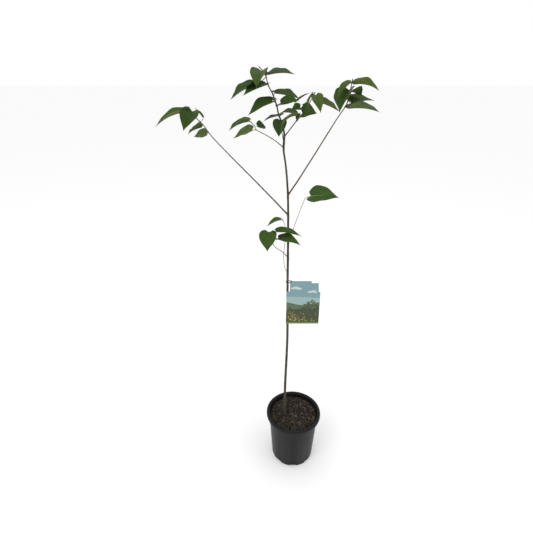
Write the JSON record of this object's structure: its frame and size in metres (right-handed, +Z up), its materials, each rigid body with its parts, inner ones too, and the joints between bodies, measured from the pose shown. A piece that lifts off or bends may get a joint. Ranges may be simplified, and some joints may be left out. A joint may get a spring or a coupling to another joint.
{
  "type": "young tree in a nursery pot",
  "caption": "Young Japanese raisin tree with long bare boughs and sprays of leaves, in a black nursery pot with bark chips and a plant label.",
  "frame": {"origin": "centre of the pot's flat underside", "axes": "+Z up the pot's axis towards the crown, +X to the viewer's right, +Y away from the viewer"},
  "size_m": [0.4686, 0.165, 1.119],
  "materials": {
    "pot_plastic": "matte",
    "bark_chips": "matte",
    "bark": "matte",
    "leaf": "satin",
    "label_print": "satin",
    "strap_plastic": "satin"
  },
  "bodies": {
    "root": {"pot": "pot_plastic", "soil": "bark_chips", "trunk": "bark", "left_long_bough": "bark", "right_long_bough": "bark", "short_left_bough": "bark", "short_right_bough": "bark", "left_spray": "leaf", "right_spray": "leaf", "short_left_spray": "leaf", "short_right_spray": "leaf", "top_spray": "leaf", "low_left_spray": "leaf", "low_leaf_shoot": "leaf", "right_leaf_shoot": "leaf", "fork_leaf_shoot": "leaf", "label_card": "label_print", "label_strap": "strap_plastic"}
  },
  "joints": []
}
